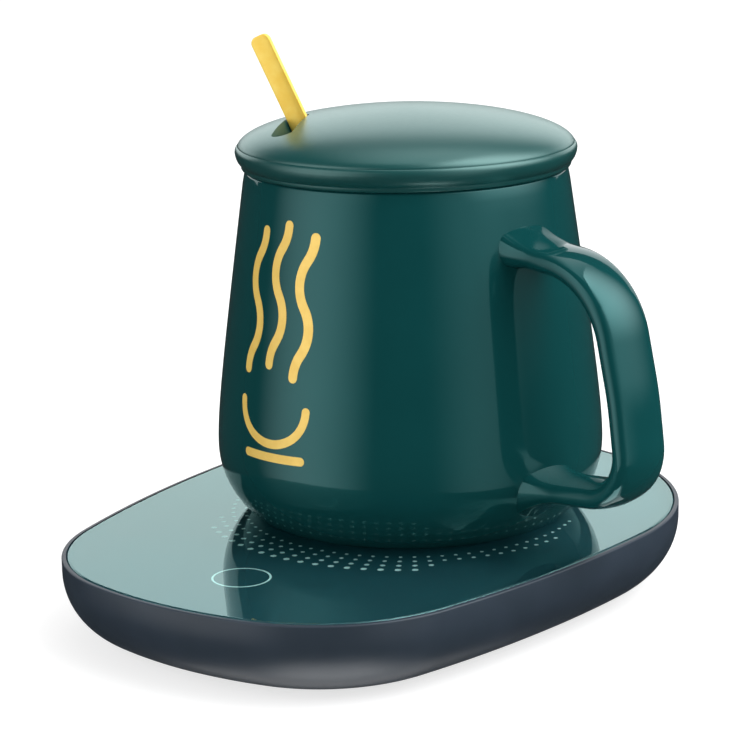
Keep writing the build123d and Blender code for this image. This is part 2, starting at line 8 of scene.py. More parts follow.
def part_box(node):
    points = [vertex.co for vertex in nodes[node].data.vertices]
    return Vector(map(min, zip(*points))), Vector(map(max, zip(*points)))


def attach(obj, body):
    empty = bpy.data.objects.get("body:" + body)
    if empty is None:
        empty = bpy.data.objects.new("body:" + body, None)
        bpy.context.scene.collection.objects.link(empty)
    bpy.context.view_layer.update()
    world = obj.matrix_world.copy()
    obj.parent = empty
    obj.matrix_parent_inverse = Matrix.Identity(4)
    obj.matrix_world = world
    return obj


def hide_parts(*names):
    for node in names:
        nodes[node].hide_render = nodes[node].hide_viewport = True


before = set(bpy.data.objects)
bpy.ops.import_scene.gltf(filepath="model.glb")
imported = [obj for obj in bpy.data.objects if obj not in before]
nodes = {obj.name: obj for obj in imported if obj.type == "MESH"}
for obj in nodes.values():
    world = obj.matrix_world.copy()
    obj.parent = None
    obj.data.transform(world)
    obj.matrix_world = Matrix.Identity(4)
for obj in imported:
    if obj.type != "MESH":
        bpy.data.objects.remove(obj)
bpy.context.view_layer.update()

mm = 0.001
scene = bpy.context.scene
scene.view_settings.view_transform = "Standard"


# ---------------------------------------------------------------- camera
# A long lens at the front right of the base, a little above the lid. It looks down by about 14
# degrees, so that the glass, the side of the mug and the top of the lid all show.
camera = bpy.data.objects.new("camera", bpy.data.cameras.new("camera"))
scene.collection.objects.link(camera)
camera.data.sensor_width = 36
camera.data.lens = 127.17
camera.data.clip_start = 0.05
camera.data.clip_end = 20
look = Vector((-0.58028, 0.77839, -0.23955))
right = Vector((0.80436, 0.59385, -0.01883))
up = right.cross(look)
turn = Matrix((right, up, -look)).transposed().to_4x4()
camera.matrix_world = Matrix.Translation(Vector((344.68, -478.46, 178.25)) * mm) @ turn
scene.camera = camera


# ---------------------------------------------------------------- studio
# A pale table that keeps the soft shadow of the base, a white backdrop far behind it, a dim room,
# large softboxes whose light fades towards their sides, and two low cards that only gloss sees.
def lit_paint(name, glow, *rays):
    """Pale matt paint that also glows for the rays named, so that they see it as white."""
    paint = bpy.data.materials.new(name)
    paint.use_nodes = True
    paint.cycles.emission_sampling = "NONE"
    tree = paint.node_tree
    shader = tree.nodes["Principled BSDF"]
    shader.inputs["Base Color"].default_value = (0.42, 0.42, 0.42, 1)
    shader.inputs["Roughness"].default_value = 1
    shader.inputs["Specular IOR Level"].default_value = 0
    shader.inputs["Emission Color"].default_value = (1, 1, 1, 1)
    tree.links.new(seen_by(tree, 0, glow, *rays), shader.inputs["Emission Strength"])
    return paint


def seen_by(tree, otherwise, strength, *rays):
    """A socket that holds one strength for the kinds of ray named and another for all others."""
    path = tree.nodes.new("ShaderNodeLightPath")
    total = path.outputs[rays[0]]
    for ray in rays[1:]:
        either = tree.nodes.new("ShaderNodeMath")
        either.operation = "MAXIMUM"
        tree.links.new(total, either.inputs[0])
        tree.links.new(path.outputs[ray], either.inputs[1])
        total = either.outputs[0]
    level = tree.nodes.new("ShaderNodeMapRange")
    level.inputs["To Min"].default_value = otherwise
    level.inputs["To Max"].default_value = strength
    tree.links.new(total, level.inputs["Value"])
    return level.outputs["Result"]


table_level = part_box("rubber_feet")[0].z
bpy.ops.object.select_all(action="DESELECT")
bpy.ops.mesh.primitive_plane_add(size=6, location=(0, 0, table_level))
table = bpy.context.object
table.name = "studio_table"
table.visible_glossy = False
table.data.materials.append(lit_paint("table_paint", 0.7, "Is Camera Ray", "Is Transmission Ray"))

bpy.ops.object.select_all(action="DESELECT")
bpy.ops.mesh.primitive_plane_add(size=1, location=(-1.05, 1.4, 0.7))
backdrop = bpy.context.object
backdrop.name = "studio_backdrop"
backdrop.rotation_euler = (pi / 2, 0, radians(36.7))  # square to the camera's view
backdrop.scale = (4.4, 1.0, 1)
backdrop.data.materials.append(
    lit_paint("backdrop_paint", 1.0, "Is Camera Ray", "Is Glossy Ray", "Is Transmission Ray")
)

world = bpy.data.worlds.new("studio_room")
scene.world = world
world.use_nodes = True
world.cycles.sampling_method = "NONE"
tree = world.node_tree
room = tree.nodes["Background"]
room.inputs["Color"].default_value = (1, 1, 1, 1)
white_to_view = seen_by(tree, 0.5, 1.0, "Is Camera Ray", "Is Transmission Ray")
dim_to_gloss = seen_by(tree, 1.0, 0.06, "Is Glossy Ray")
strength = tree.nodes.new("ShaderNodeMath")
strength.operation = "MULTIPLY"
tree.links.new(white_to_view, strength.inputs[0])
tree.links.new(dim_to_gloss, strength.inputs[1])
tree.links.new(strength.outputs[0], room.inputs["Strength"])

lamp_target = Vector((0, 0, 0.1))


def softbox(name, place, width, height, radiance, rise=0.0):
    """A rectangular lamp turned to face the mug, brightest along its upright middle line.

    Rise is the share of its height over which it fades in from its lower edge.
    """
    lamp = bpy.data.lights.new(name, "AREA")
    lamp.shape = "RECTANGLE"
    lamp.size = width
    lamp.size_y = height
    lamp.energy = pi * width * height * radiance
    lamp.use_nodes = True
    tree = lamp.node_tree
    place_on_lamp = tree.nodes.new("ShaderNodeNewGeometry")
    sides = tree.nodes.new("ShaderNodeSeparateXYZ")
    tree.links.new(place_on_lamp.outputs["Parametric"], sides.inputs["Vector"])
    swell = tree.nodes.new("ShaderNodeMath")
    swell.operation = "PINGPONG"
    swell.inputs[1].default_value = 0.5
    tree.links.new(sides.outputs["X"], swell.inputs[0])
    fade = tree.nodes.new("ShaderNodeMapRange")
    fade.interpolation_type = "SMOOTHSTEP"
    fade.inputs["From Max"].default_value = 0.5
    tree.links.new(swell.outputs[0], fade.inputs["Value"])
    glow = fade.outputs["Result"]
    if rise:
        lift = tree.nodes.new("ShaderNodeMapRange")
        lift.interpolation_type = "SMOOTHSTEP"
        lift.inputs["From Max"].default_value = rise
        tree.links.new(sides.outputs["Y"], lift.inputs["Value"])
        both = tree.nodes.new("ShaderNodeMath")
        both.operation = "MULTIPLY"
        tree.links.new(glow, both.inputs[0])
        tree.links.new(lift.outputs["Result"], both.inputs[1])
        glow = both.outputs[0]
    tree.links.new(glow, tree.nodes["Emission"].inputs["Strength"])
    holder = bpy.data.objects.new(name, lamp)
    scene.collection.objects.link(holder)
    holder.location = place
    holder.rotation_euler = (lamp_target - Vector(place)).to_track_quat("-Z", "Y").to_euler()


softbox("lamp_left", (-0.47, -1.0, 0.25), 2.1, 1.5, 2.0)
softbox("lamp_right", (1.08, -0.23, 0.25), 1.5, 1.5, 0.7)
softbox("lamp_above", (-0.1, 0.3, 1.3), 1.6, 1.2, 1.35)
softbox("lamp_side", (1.05, 0.5, 0.85), 2.5, 2.3, 5.8, rise=0.6)

camera_heading = radians(-54)  # of the line from the mug to the camera, from +X


def low_card(name, place, size, radiance):
    """A card under the table that only glossy surfaces see, turned towards the camera."""
    bpy.ops.object.select_all(action="DESELECT")
    bpy.ops.mesh.primitive_plane_add(size=1, location=place, rotation=(0, 0, camera_heading))
    card = bpy.context.object
    card.name = name
    card.scale = (*size, 1)
    card.visible_camera = False
    card.visible_diffuse = False
    card.visible_shadow = False
    card.data.materials.append(lit_paint(name + "_paint", radiance, "Is Glossy Ray"))


# the sheen on the turned-under side of the base: faint all round, and stronger at the near corner
low_card("studio_card_wide", (0, 0, -0.51), (0.56, 0.56), 1.1)
low_card("studio_card_near", (0.115, -0.165, -0.5), (0.33, 0.36), 4.2)


# ---------------------------------------------------------------- body shell
# One bowl-shaped moulding in slate plastic with a fine satin texture. Its top edge is a thin rim
# round the glass, and the back end has a pocket for the power socket.
def srgb(red, green, blue):
    """A colour of 0 to 255 values as the linear values that shaders take."""
    return [c / 3294.6 if c <= 10 else ((c / 255 + 0.055) / 1.055) ** 2.4 for c in (red, green, blue)]


def finish(name, dark, light, patch, grain, rough, relief, **sockets):
    """A material whose colour drifts between two tones, with a fine grain in its gloss and surface."""
    made = bpy.data.materials.new(name)
    made.use_nodes = True
    tree = made.node_tree
    shader = tree.nodes["Principled BSDF"]
    for socket, value in sockets.items():
        shader.inputs[socket.replace("_", " ")].default_value = value
    place = tree.nodes.new("ShaderNodeTexCoord")
    drift = tree.nodes.new("ShaderNodeTexNoise")
    drift.inputs["Scale"].default_value = patch
    drift.inputs["Detail"].default_value = 3
    tree.links.new(place.outputs["Object"], drift.inputs["Vector"])
    tint = tree.nodes.new("ShaderNodeValToRGB")
    tint.color_ramp.elements[0].position = 0.35
    tint.color_ramp.elements[0].color = (*dark, 1)
    tint.color_ramp.elements[1].position = 0.65
    tint.color_ramp.elements[1].color = (*light, 1)
    tree.links.new(drift.outputs["Fac"], tint.inputs["Fac"])
    tree.links.new(tint.outputs["Color"], shader.inputs["Base Color"])
    fine = tree.nodes.new("ShaderNodeTexNoise")
    fine.inputs["Scale"].default_value = grain
    fine.inputs["Detail"].default_value = 2
    tree.links.new(place.outputs["Object"], fine.inputs["Vector"])
    gloss = tree.nodes.new("ShaderNodeMapRange")
    gloss.inputs["From Min"].default_value = 0.3
    gloss.inputs["From Max"].default_value = 0.7
    gloss.inputs["To Min"].default_value = rough[0]
    gloss.inputs["To Max"].default_value = rough[1]
    tree.links.new(fine.outputs["Fac"], gloss.inputs["Value"])
    tree.links.new(gloss.outputs["Result"], shader.inputs["Roughness"])
    bump = tree.nodes.new("ShaderNodeBump")
    bump.inputs["Strength"].default_value = relief
    bump.inputs["Distance"].default_value = 0.05 * mm
    tree.links.new(fine.outputs["Fac"], bump.inputs["Height"])
    tree.links.new(bump.outputs["Normal"], shader.inputs["Normal"])
    return made


def dress(node, material, crease=32):
    """Gives a CAD node one material all over, and smooth shading up to its creases."""
    piece = nodes[node]
    piece.data.materials.clear()
    piece.data.materials.append(material)
    for face in piece.data.polygons:
        face.use_smooth = True
    weld = piece.modifiers.new("weld", "WELD")
    weld.merge_threshold = 0.0005 * mm
    split = piece.modifiers.new("creases", "EDGE_SPLIT")
    split.split_angle = radians(crease)


def arc_outline(name, start, arcs):
    """A flat face about the Y axis: from a point on it, arcs spun one after another, then mirrored.

    Each arc is its radius, its sweep in degrees and its steps. A radius of 0 closes on the axis.
    """
    point = Vector(start[:2])
    height = start[2]
    bpy.ops.object.select_all(action="DESELECT")
    bpy.ops.mesh.primitive_plane_add(size=mm, location=Vector(start) * mm)
    piece = bpy.context.object
    piece.name = name
    bpy.ops.object.transform_apply(location=True, rotation=True, scale=True)
    bpy.ops.object.mode_set(mode="EDIT")
    bpy.ops.mesh.select_all(action="SELECT")
    bpy.ops.mesh.merge(type="CENTER")
    heading = 0.0
    for radius, sweep, steps in arcs:
        way = radians(heading)
        reach = radius if radius else point.x / sin(radians(sweep))
        centre = point + Vector((-sin(way), cos(way))) * reach
        bpy.ops.mesh.spin(
            steps=steps,
            angle=-radians(sweep),
            center=(centre.x * mm, centre.y * mm, height * mm),
            axis=(0, 0, 1),
        )
        heading += sweep
        way = radians(heading)
        point = centre - Vector((-sin(way), cos(way))) * reach
    bpy.ops.mesh.select_all(action="SELECT")
    bpy.ops.mesh.duplicate()
    bpy.ops.transform.resize(value=(-1, 1, 1), center_override=(0, 0, 0))
    bpy.ops.mesh.select_all(action="SELECT")
    bpy.ops.mesh.remove_doubles(threshold=0.01 * mm)
    bpy.ops.mesh.edge_face_add()
    return piece


# plan of the base from the middle of its front end: front, corner, side and shoulder, and the arc
# that closes the back end
front_reach = 90.5
base_arcs = ((92, 13.5, 8), (40, 62.4, 28), (278, 13.8, 14), (57, 79.6, 36))
back_arc = (0, 10.7, 8)


def outline_face(name, inset, height):
    """The outline of the base, drawn in by inset, as a flat face."""
    arcs = [(radius - inset, sweep, steps) for radius, sweep, steps in base_arcs]
    return arc_outline(name, (0, inset - front_reach, height), [*arcs, back_arc])


def pull(height):
    """Extrudes the selected faces straight up, or down where the height is negative."""
    bpy.ops.mesh.extrude_region_move(TRANSFORM_OT_translate={"value": (0, 0, height * mm)})


def pick_level(piece, height, faces=False):
    """In edit mode, selects what lies wholly at one height: its edges, or only its faces."""
    bpy.ops.mesh.select_all(action="DESELECT")
    mesh = bmesh.from_edit_mesh(piece.data)
    for group in (mesh.faces,) if faces else (mesh.verts, mesh.edges, mesh.faces):
        for item in group:
            points = [item] if isinstance(item, bmesh.types.BMVert) else item.verts
            if all(abs(point.co.z - height * mm) < 0.004 * mm for point in points):
                item.select_set(True)
    bmesh.update_edit_mesh(piece.data)


def settle(piece, material, body, crease=30):
    """Faces outwards, smooth shading up to the creases, a material, and the body it rides on."""
    bpy.ops.object.mode_set(mode="EDIT")
    bpy.ops.mesh.select_all(action="SELECT")
    bpy.ops.mesh.normals_make_consistent(inside=False)
    bpy.ops.object.mode_set(mode="OBJECT")
    bpy.ops.object.transform_apply(location=True, rotation=True, scale=True)
    bpy.ops.object.shade_smooth_by_angle(angle=radians(crease))
    piece.data.materials.clear()
    piece.data.materials.append(material)
    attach(piece, body)


def rounded_slot(name, width, height, depth, middle):
    """A tool in the form of a slot with round ends, lying along Y: a cylinder with its halves parted."""
    bpy.ops.object.select_all(action="DESELECT")
    sides = 32
    bpy.ops.mesh.primitive_cylinder_add(
        vertices=sides,
        radius=height / 2 * mm,
        depth=depth * mm,
        location=Vector(middle) * mm,
        rotation=(pi / 2, pi / sides, 0),
    )
    tool = bpy.context.object
    tool.name = name
    bpy.ops.object.transform_apply(location=True, rotation=True, scale=True)
    for vertex in tool.data.vertices:
        vertex.co.x += (width - height) / 2 * mm * (1 if vertex.co.x > middle[0] * mm else -1)
    return tool


def cut_away(piece, tool):
    """Cuts a tool out of a piece and removes the tool."""
    knife = piece.modifiers.new("cut", "BOOLEAN")
    knife.operation = "DIFFERENCE"
    knife.object = tool
    bpy.context.view_layer.objects.active = piece
    bpy.ops.object.modifier_apply(modifier=knife.name)
    bpy.data.objects.remove(tool)
    bpy.ops.object.select_all(action="DESELECT")
    piece.select_set(True)


slate = finish(
    "slate_satin",
    srgb(41, 51, 61),
    srgb(46, 56, 67),
    60,
    5200,
    (0.32, 0.40),
    0.25,
    Specular_IOR_Level=0.3,
)
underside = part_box("body_shell")[0].z / mm
rim_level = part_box("body_shell")[1].z / mm
ledge_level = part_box("glass_gasket")[0].z / mm
flange_level = underside + 3.4
step_level = underside + 2.2
back_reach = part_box("body_shell")[1].y / mm
bowl_round = 15.0  # the turn from the side to the underside
rim_round = 0.4
rim_flat = 0.6  # what is left of the rim's top inside its rounding
ledge_width = 2.0
cavity_round = 10.6
flange_width = 5.4
seat_margin = 1.0  # flat ring between the turned-under side and the seat of the cover
seat_width = 3.0
port_level = -8.5
pocket_size = (13.0, 7.0, 2.4)
port_size = (9.4, 3.7, 12.0)
port_setback = 4.0

shell = outline_face("shell", 0, underside)
pull(rim_level - underside)
pick_level(shell, underside)
bpy.ops.mesh.bevel(offset=bowl_round * mm, segments=20, affect="EDGES")
pick_level(shell, rim_level)
bpy.ops.mesh.bevel(offset=rim_round * mm, segments=4, affect="EDGES")
# rim, rebate for the glass, ledge and cavity, from the top
pick_level(shell, rim_level, faces=True)
bpy.ops.mesh.inset(thickness=rim_flat * mm)
pull(ledge_level - rim_level)
bpy.ops.mesh.inset(thickness=ledge_width * mm)
pull(flange_level - ledge_level)
pick_level(shell, flange_level)
bpy.ops.mesh.bevel(offset=cavity_round * mm, segments=14, affect="EDGES")
pick_level(shell, flange_level, faces=True)
bpy.ops.mesh.inset(thickness=flange_width * mm)
bpy.ops.mesh.delete(type="ONLY_FACE")
# seat for the cover, from below, and the opening between the two
pick_level(shell, underside, faces=True)
bpy.ops.mesh.inset(thickness=seat_margin * mm)
pull(step_level - underside)
bpy.ops.mesh.inset(thickness=seat_width * mm)
bpy.ops.mesh.delete(type="ONLY_FACE")
bpy.ops.mesh.select_all(action="DESELECT")
bpy.ops.mesh.select_non_manifold()
bpy.ops.mesh.bridge_edge_loops()
bpy.ops.object.mode_set(mode="OBJECT")
cut_away(shell, rounded_slot("port_pocket", *pocket_size, (0, back_reach, port_level)))
cut_away(shell, rounded_slot("port_hole", *port_size, (0, back_reach - port_setback, port_level)))
settle(shell, slate, "base")
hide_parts("body_shell")


# ---------------------------------------------------------------- underside
# The cover is moulded in the same plastic, a shade darker, and sits in a seat of the shell. Four
# steel screws hold it, and a rubber foot is pressed over each of them.
cover_satin = finish("cover_satin", srgb(33, 38, 45), srgb(40, 46, 54), 70, 4200, (0.45, 0.6), 0.6)
dress("bottom_cover", cover_satin)
foot_rubber = finish("foot_rubber", srgb(24, 24, 25), srgb(34, 34, 35), 200, 6000, (0.7, 0.9), 0.8)
dress("rubber_feet", foot_rubber)


def metal(name, dark, light, patch, grain, rough, relief):
    """The finish of a bare metal."""
    return finish(name, dark, light, patch, grain, rough, relief, Metallic=1.0)


screw_steel = metal("screw_steel", srgb(150, 152, 156), srgb(182, 184, 188), 900, 9000, (0.25, 0.4), 0.3)
dress("case_screws", screw_steel)


# ---------------------------------------------------------------- heater
# An aluminium spreader lies against the glass, with a mica element, a fibre pad and a steel tray
# below it. The cut-out and the sensor sit on the element in a window of the pad.
aluminium = metal(
    "brushed_aluminium", srgb(196, 198, 200), srgb(216, 218, 220), 300, 5000, (0.3, 0.45), 0.5
)
dress("heating_plate", aluminium)
mica = finish("mica", srgb(150, 128, 92), srgb(186, 164, 122), 180, 3000, (0.35, 0.6), 0.6)
dress("heating_element", mica)
felt = finish("fibre_felt", srgb(214, 212, 202), srgb(236, 234, 226), 500, 2500, (0.85, 1.0), 1.0)
dress("insulation_pad", felt)
tray_steel = metal("tray_steel", srgb(150, 152, 156), srgb(178, 180, 184), 250, 6000, (0.3, 0.45), 0.4)
dress("heater_tray", tray_steel)
cutout_case = finish(
    "cutout_case", srgb(206, 203, 190), srgb(226, 224, 212), 400, 6000, (0.4, 0.5), 0.3
)
dress("thermal_cutout", cutout_case)
bead_brown = finish("sensor_bead", srgb(46, 34, 28), srgb(70, 52, 42), 900, 8000, (0.2, 0.35), 0.3)
dress("temperature_sensor", bead_brown)


# ---------------------------------------------------------------- touch control
# A green circuit board under the touch ring carries a coil spring up to the glass, a chip, a
# capacitor, a wire connector and a small lamp.
board_green = finish("board_green", srgb(14, 74, 40), srgb(22, 96, 54), 220, 4000, (0.25, 0.4), 0.4)
dress("control_board", board_green)
chip_black = finish("chip_black", srgb(18, 18, 19), srgb(34, 34, 36), 500, 9000, (0.4, 0.6), 0.5)
dress("board_components", chip_black)
dress("board_screws", screw_steel)
spring_steel = metal(
    "spring_steel", srgb(196, 194, 188), srgb(220, 218, 212), 900, 9000, (0.15, 0.3), 0.2
)
dress("touch_spring", spring_steel)
lamp_lens = finish("lamp_lens", srgb(226, 230, 224), srgb(242, 245, 240), 900, 9000, (0.1, 0.2), 0.1)
dress("status_led", lamp_lens)


# ---------------------------------------------------------------- power inlet
# A drawn steel socket on a small board of its own, screwed to the shell behind the pocket. Wires
# are soldered from it to the control board, and on from there to the heating element.
socket_steel = metal(
    "socket_steel", srgb(172, 172, 174), srgb(196, 196, 198), 800, 9000, (0.2, 0.3), 0.2
)
dress("power_socket", socket_steel)
dress("inlet_board", board_green)
dress("inlet_screws", screw_steel)
wire_red = finish("wire_red", srgb(150, 22, 18), srgb(176, 34, 28), 600, 8000, (0.3, 0.45), 0.3)
dress("inlet_leads", wire_red)
dress("heater_leads", wire_red)


# ---------------------------------------------------------------- printed film
# Enamel fired on to the back of the glass: a dark teal ground, a pale ring at the touch spot, and
# rings of dots that shrink towards the mug. It lies under the full thickness of the glass.
glass_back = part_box("glass_top")[0].z / mm
film_inset = 1.3
film_lift = 0.01  # clear of the glass's own back face
film_thickness = 0.03
film = outline_face("glass_print", film_inset, glass_back + film_lift)
pull(film_thickness)
film_teal = finish("print_teal", srgb(0, 50, 60), srgb(0, 54, 64), 25, 3000, (0.5, 0.6), 0.05)
settle(film, film_teal, "base")

print_silver = finish(
    "print_silver", srgb(206, 228, 226), srgb(222, 240, 238), 900, 6000, (0.35, 0.5), 0.05
)
dot_level = glass_back + 0.05
dot_turn = 4.54  # degrees from one dot to the next
first_dot = -126.1  # of the outer ring, in degrees from +X
dot_thickness = 0.02


def dot_arc(name, ring, size, start, count):
    """One ring of printed dots: a disc, spun round the mug's axis as separate copies."""
    way = radians(start)
    bpy.ops.object.select_all(action="DESELECT")
    bpy.ops.mesh.primitive_cylinder_add(
        vertices=14,
        radius=size * mm,
        depth=dot_thickness * mm,
        location=(ring * cos(way) * mm, ring * sin(way) * mm, dot_level * mm),
    )
    piece = bpy.context.object
    piece.name = name
    bpy.ops.object.mode_set(mode="EDIT")
    bpy.ops.mesh.select_all(action="SELECT")
    bpy.ops.mesh.spin(
        steps=count - 1,
        dupli=True,
        angle=-radians(dot_turn * (count - 1)),
        center=(0, 0, 0),
        axis=(0, 0, 1),
    )
    settle(piece, print_silver, "base")


# each ring inwards has smaller dots, and starts some dots before the outer one
dot_arc("print_dots_outer", 48.07, 0.72, first_dot, 17)
dot_arc("print_dots_second", 45.1, 0.60, first_dot - 2 * dot_turn, 20)
dot_arc("print_dots_third", 42.1, 0.50, first_dot - 6 * dot_turn, 34)
dot_arc("print_dots_fourth", 39.1, 0.42, first_dot - 8 * dot_turn, 40)

touch_distance = 63.64  # from the axis of the mug to the middle of the touch ring
flatten = 0.05  # the touch ring's thickness as a share of its line's width
bpy.ops.object.select_all(action="DESELECT")
bpy.ops.mesh.primitive_torus_add(
    location=(0, -touch_distance * mm, dot_level * mm),
    major_radius=6.34 * mm,
    minor_radius=0.24 * mm,
    major_segments=96,
    minor_segments=8,
)
touch_ring = bpy.context.object
touch_ring.name = "print_touch_ring"
bpy.ops.transform.resize(value=(1, 1, flatten), center_override=(0, 0, dot_level * mm))
settle(touch_ring, print_silver, "base", crease=80)


# ---------------------------------------------------------------- glass top
# Tempered glass 4 mm thick, ground and polished round its edge, with the print behind it. It lies
# on a black adhesive gasket.
adhesive = finish("black_adhesive", srgb(14, 15, 16), srgb(22, 23, 24), 300, 5000, (0.6, 0.8), 0.4)
dress("glass_gasket", adhesive)
# the clear body lets shadow rays straight through, so that the print behind it is lit
glass = bpy.data.materials.new("clear_glass")
glass.use_nodes = True
tree = glass.node_tree
clear = tree.nodes["Principled BSDF"]
clear.inputs["Base Color"].default_value = (0.93, 0.98, 0.97, 1)
clear.inputs["Transmission Weight"].default_value = 1.0
clear.inputs["IOR"].default_value = 1.52
clear.inputs["Specular Tint"].default_value = (0.6, 1, 1, 1)
clear.inputs["Coat Weight"].default_value = 0.6
clear.inputs["Coat Tint"].default_value = (0.64, 0.97, 0.95, 1)
clear.inputs["Coat Roughness"].default_value = 0.0
place = tree.nodes.new("ShaderNodeTexCoord")
smear = tree.nodes.new("ShaderNodeTexNoise")
smear.inputs["Scale"].default_value = 30
smear.inputs["Detail"].default_value = 4
tree.links.new(place.outputs["Object"], smear.inputs["Vector"])
polish = tree.nodes.new("ShaderNodeMapRange")
polish.inputs["To Min"].default_value = 0.0
polish.inputs["To Max"].default_value = 0.03
tree.links.new(smear.outputs["Fac"], polish.inputs["Value"])
tree.links.new(polish.outputs["Result"], clear.inputs["Roughness"])
ray = tree.nodes.new("ShaderNodeLightPath")
through = tree.nodes.new("ShaderNodeBsdfTransparent")
blend = tree.nodes.new("ShaderNodeMixShader")
tree.links.new(ray.outputs["Is Shadow Ray"], blend.inputs["Fac"])
tree.links.new(clear.outputs["BSDF"], blend.inputs[1])
tree.links.new(through.outputs["BSDF"], blend.inputs[2])
tree.links.new(blend.outputs["Shader"], tree.nodes["Material Output"].inputs["Surface"])

glass_inset = 1.2
glass_bevel = 0.5
flat_ring = 0.2  # inside the bevel, so that the bevel's soft shading stops there
pane = outline_face("glass_pane", glass_inset, glass_back)
pull(-glass_back)
pick_level(pane, 0)
bpy.ops.mesh.bevel(offset=glass_bevel * mm, segments=3, affect="EDGES")
pick_level(pane, 0, faces=True)
bpy.ops.mesh.inset(thickness=flat_ring * mm)
settle(pane, glass, "base")
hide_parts("glass_top")


# ---------------------------------------------------------------- mug
# Thrown stoneware with a deep green gloss glaze inside and out, on a foot ring. The wall swells
# low down and draws in from there to a thin rounded rim.
def bezier(start, first_pull, second_pull, end, steps):
    """Points along a curve, without its start."""
    points = []
    for step in range(1, steps + 1):
        t = step / steps
        weights = ((1 - t) ** 3, 3 * t * (1 - t) ** 2, 3 * t * t * (1 - t), t**3)
        held = (start, first_pull, second_pull, end)
        points.append(tuple(sum(w * p[axis] for w, p in zip(weights, held)) for axis in (0, 1)))
    return points


def round_edge(middle, radius, start, end, steps):
    """Points round an arc between two angles in degrees, without its start."""
    turn = (radians(start + (end - start) * step / steps) for step in range(1, steps + 1))
    return [(middle[0] + radius * cos(angle), middle[1] + radius * sin(angle)) for angle in turn]


def lathe(name, profile, steps=160):
    """A profile of (radius, height) points, drawn edge by edge and spun into a closed form."""
    bpy.ops.object.select_all(action="DESELECT")
    bpy.ops.mesh.primitive_plane_add(size=mm, location=(profile[0][0] * mm, 0, profile[0][1] * mm))
    piece = bpy.context.object
    piece.name = name
    bpy.ops.object.transform_apply(location=True, rotation=True, scale=True)
    bpy.ops.object.mode_set(mode="EDIT")
    bpy.ops.mesh.select_all(action="SELECT")
    bpy.ops.mesh.merge(type="CENTER")
    for before, after in zip(profile, profile[1:]):
        step = ((after[0] - before[0]) * mm, 0, (after[1] - before[1]) * mm)
        bpy.ops.mesh.extrude_region_move(TRANSFORM_OT_translate={"value": step})
    bpy.ops.mesh.select_all(action="SELECT")
    bpy.ops.mesh.spin(steps=steps, angle=2 * pi, center=(0, 0, 0), axis=(0, 0, 1))
    bpy.ops.mesh.select_all(action="SELECT")
    bpy.ops.mesh.remove_doubles(threshold=0.005 * mm)
    bpy.ops.object.mode_set(mode="OBJECT")
    return piece


glaze = finish(
    "green_glaze",
    srgb(11, 60, 61),
    srgb(13, 64, 65),
    22,
    700,
    (0.05, 0.09),
    0.02,
    Specular_Tint=(0.45, 1, 1, 1),
)
mug_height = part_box("mug")[1].z / mm
belly = (45.0, 16.3)
foot_edge = (38.2, 1.2)
rim_radius = 37.1
wall = 3.5
lip = 0.9  # rounding of the rim, on each side
floor_level = 5.0
wall_curve = ((belly[0], 24.3), (rim_radius + 6.4, mug_height - 45))
# the recess under the mug, the foot ring, up the outside, over the lip and down the inside
mug_profile = [(0, 1.0), (33.4, 1.0), (33.6, 0.8), (33.6, 0.3), (33.9, 0)]
mug_profile += [(36.6, 0), (37.0, 0.2), foot_edge]
mug_profile += bezier(foot_edge, (41.0, 3.6), (belly[0], 8.8), belly, 22)
mug_profile += bezier(belly, *wall_curve, (rim_radius, mug_height), 44)[:-1]
mug_profile += round_edge((rim_radius - lip, mug_height - lip), lip, 0, 90, 6)
mug_profile += round_edge((rim_radius - wall + lip, mug_height - lip), lip, 90, 180, 6)
inner_belly = (belly[0] - wall, belly[1] + 2)
inner_rim = (rim_radius - wall, mug_height - lip)
mug_profile += bezier(
    inner_rim, (rim_radius - wall + 6.0, mug_height - 44), (inner_belly[0], 26.3), inner_belly, 36
)
mug_profile += bezier(
    inner_belly, (inner_belly[0], 11.4), (40.0, floor_level), (30.7, floor_level), 18
)
mug_profile.append((0, floor_level))
mug = lathe("mug_body", mug_profile)
settle(mug, glaze, "mug", crease=40)
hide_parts("mug")


# ---------------------------------------------------------------- print on the mug
# A gold transfer of three curls of steam over a bowl, fired on to the glaze at the front of the
# mug, a hair's breadth proud of it.
print_gold = finish(
    "print_gold", srgb(238, 198, 96), srgb(244, 206, 106), 400, 5000, (0.32, 0.42), 0.05, Metallic=0.2
)
print_front = -60.0  # where the strokes are drawn, in front of the mug
print_turn = -9.0  # in degrees about the mug, from straight ahead
print_thickness = 0.06
end_angles = (-75, -55, -35, -15, 0)  # down the round end of a stroke


